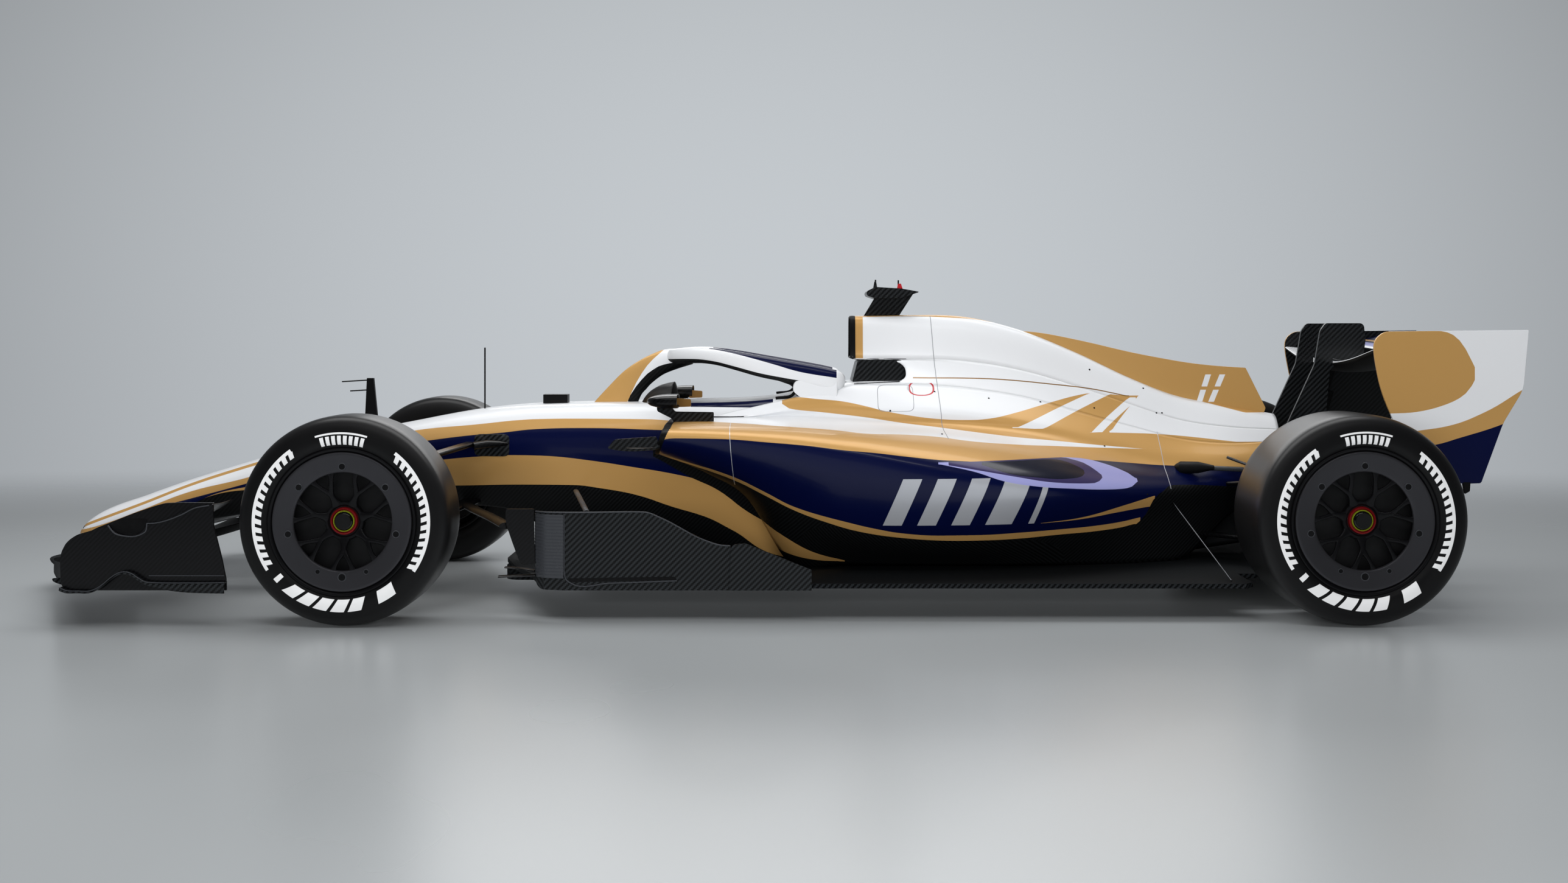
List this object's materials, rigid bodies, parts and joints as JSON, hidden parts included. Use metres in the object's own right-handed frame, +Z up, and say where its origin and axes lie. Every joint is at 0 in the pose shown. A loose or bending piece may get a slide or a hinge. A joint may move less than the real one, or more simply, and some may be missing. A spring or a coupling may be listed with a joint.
{
  "type": "open wheel racing car",
  "caption": "Single-seat open-wheel racing car with a head protection hoop, swept front wing, side pods, shark fin, tall rear wing and slick tyres on steering and rolling wheels.",
  "frame": {"origin": "on the ground under the middle of the car's length and width", "axes": "+X aft along the car, +Y to its right-hand side, +Z up"},
  "size_m": [5.4816, 1.899, 1.186],
  "materials": {
    "body_paint": "gloss white, gold and navy paint",
    "wing_paint": "gloss white, gold and navy paint",
    "carbon": "lacquered carbon fibre",
    "plank_board": "matt laminate",
    "cast_alloy": "satin",
    "hot_steel": "satin",
    "red_lens": "clear red lens",
    "black_plastic": "satin black",
    "foam_cover": "matt",
    "tyre_rubber": "satin slick rubber",
    "wheel_alloy": "dark satin"
  },
  "bodies": {
    "chassis": {"camera_pod": "black_plastic", "crash_structure": "carbon", "diffuser": "carbon", "drive_shafts": "hot_steel", "engine_cover": "body_paint", "exhaust": "hot_steel", "floor": "carbon", "front_arms": "carbon", "front_endplates": "carbon", "front_flaps": "carbon", "front_wing": "carbon", "gearbox": "cast_alloy", "halo": "body_paint", "headrest": "foam_cover", "hoop_base": "carbon", "mirrors": "body_paint", "nose_cone": "body_paint", "nose_sensors": "black_plastic", "plank": "plank_board", "power_unit": "cast_alloy", "rain_light": "red_lens", "rear_arms": "carbon", "rear_endplates": "wing_paint", "rear_hubs": "cast_alloy", "rear_wing": "carbon", "seat": "carbon", "sidepods": "body_paint", "steering_column": "cast_alloy", "survival_cell": "body_paint", "wake_boards": "carbon", "wing_pylons": "carbon"},
    "knuckle_left": {"front_knuckle_left": "cast_alloy"},
    "knuckle_right": {"front_knuckle_right": "cast_alloy"},
    "rack": {"steering_rack": "hot_steel"},
    "yoke": {"steering_wheel": "carbon"},
    "flap": {"rear_flap": "carbon"},
    "wheel_front_left": {"front_tyre_left": "tyre_rubber", "front_rim_left": "wheel_alloy"},
    "wheel_front_right": {"front_tyre_right": "tyre_rubber", "front_rim_right": "wheel_alloy"},
    "wheel_rear_left": {"rear_tyre_left": "tyre_rubber", "rear_rim_left": "wheel_alloy"},
    "wheel_rear_right": {"rear_tyre_right": "tyre_rubber", "rear_rim_right": "wheel_alloy"}
  },
  "joints": [
    {"name": "steer_left", "type": "hinge", "parent": "chassis", "child": "knuckle_left", "pos_m": [-1.378, -0.8, 0.36], "axis": [0, 0, 1], "range_deg": [-14, 14]},
    {"name": "steer_right", "type": "hinge", "parent": "chassis", "child": "knuckle_right", "pos_m": [-1.378, 0.8, 0.36], "axis": [0, 0, 1], "range_deg": [-14.5, 14.5]},
    {"name": "rack_slide", "type": "slide", "parent": "chassis", "child": "rack", "axis": [0, 1, 0], "range_m": [-0.033, 0.033]},
    {"name": "yoke_turn", "type": "hinge", "parent": "chassis", "child": "yoke", "pos_m": [-0.33, 0, 0.615], "axis": [0.9659, 0, 0.2588], "range_deg": [-172, 172]},
    {"name": "flap_tilt", "type": "hinge", "parent": "chassis", "child": "flap", "pos_m": [2.596, 0, 0.981], "axis": [0, 1, 0], "range_deg": [0, 24]},
    {"name": "spin_front_left", "type": "hinge", "parent": "knuckle_left", "child": "wheel_front_left", "pos_m": [-1.378, -0.8, 0.353], "axis": [0, 1, 0], "continuous": true},
    {"name": "spin_front_right", "type": "hinge", "parent": "knuckle_right", "child": "wheel_front_right", "pos_m": [-1.378, 0.8, 0.353], "axis": [0, 1, 0], "continuous": true},
    {"name": "spin_rear_left", "type": "hinge", "parent": "chassis", "child": "wheel_rear_left", "pos_m": [2.022, -0.7625, 0.355], "axis": [0, 1, 0], "continuous": true},
    {"name": "spin_rear_right", "type": "hinge", "parent": "chassis", "child": "wheel_rear_right", "pos_m": [2.022, 0.7625, 0.355], "axis": [0, 1, 0], "continuous": true}
  ],
  "couplings": [
    {"joint": "steer_right", "follows": "steer_left", "ratio": 1},
    {"joint": "rack_slide", "follows": "steer_left", "m_per_rad": -0.13},
    {"joint": "yoke_turn", "follows": "steer_left", "ratio": 12}
  ]
}
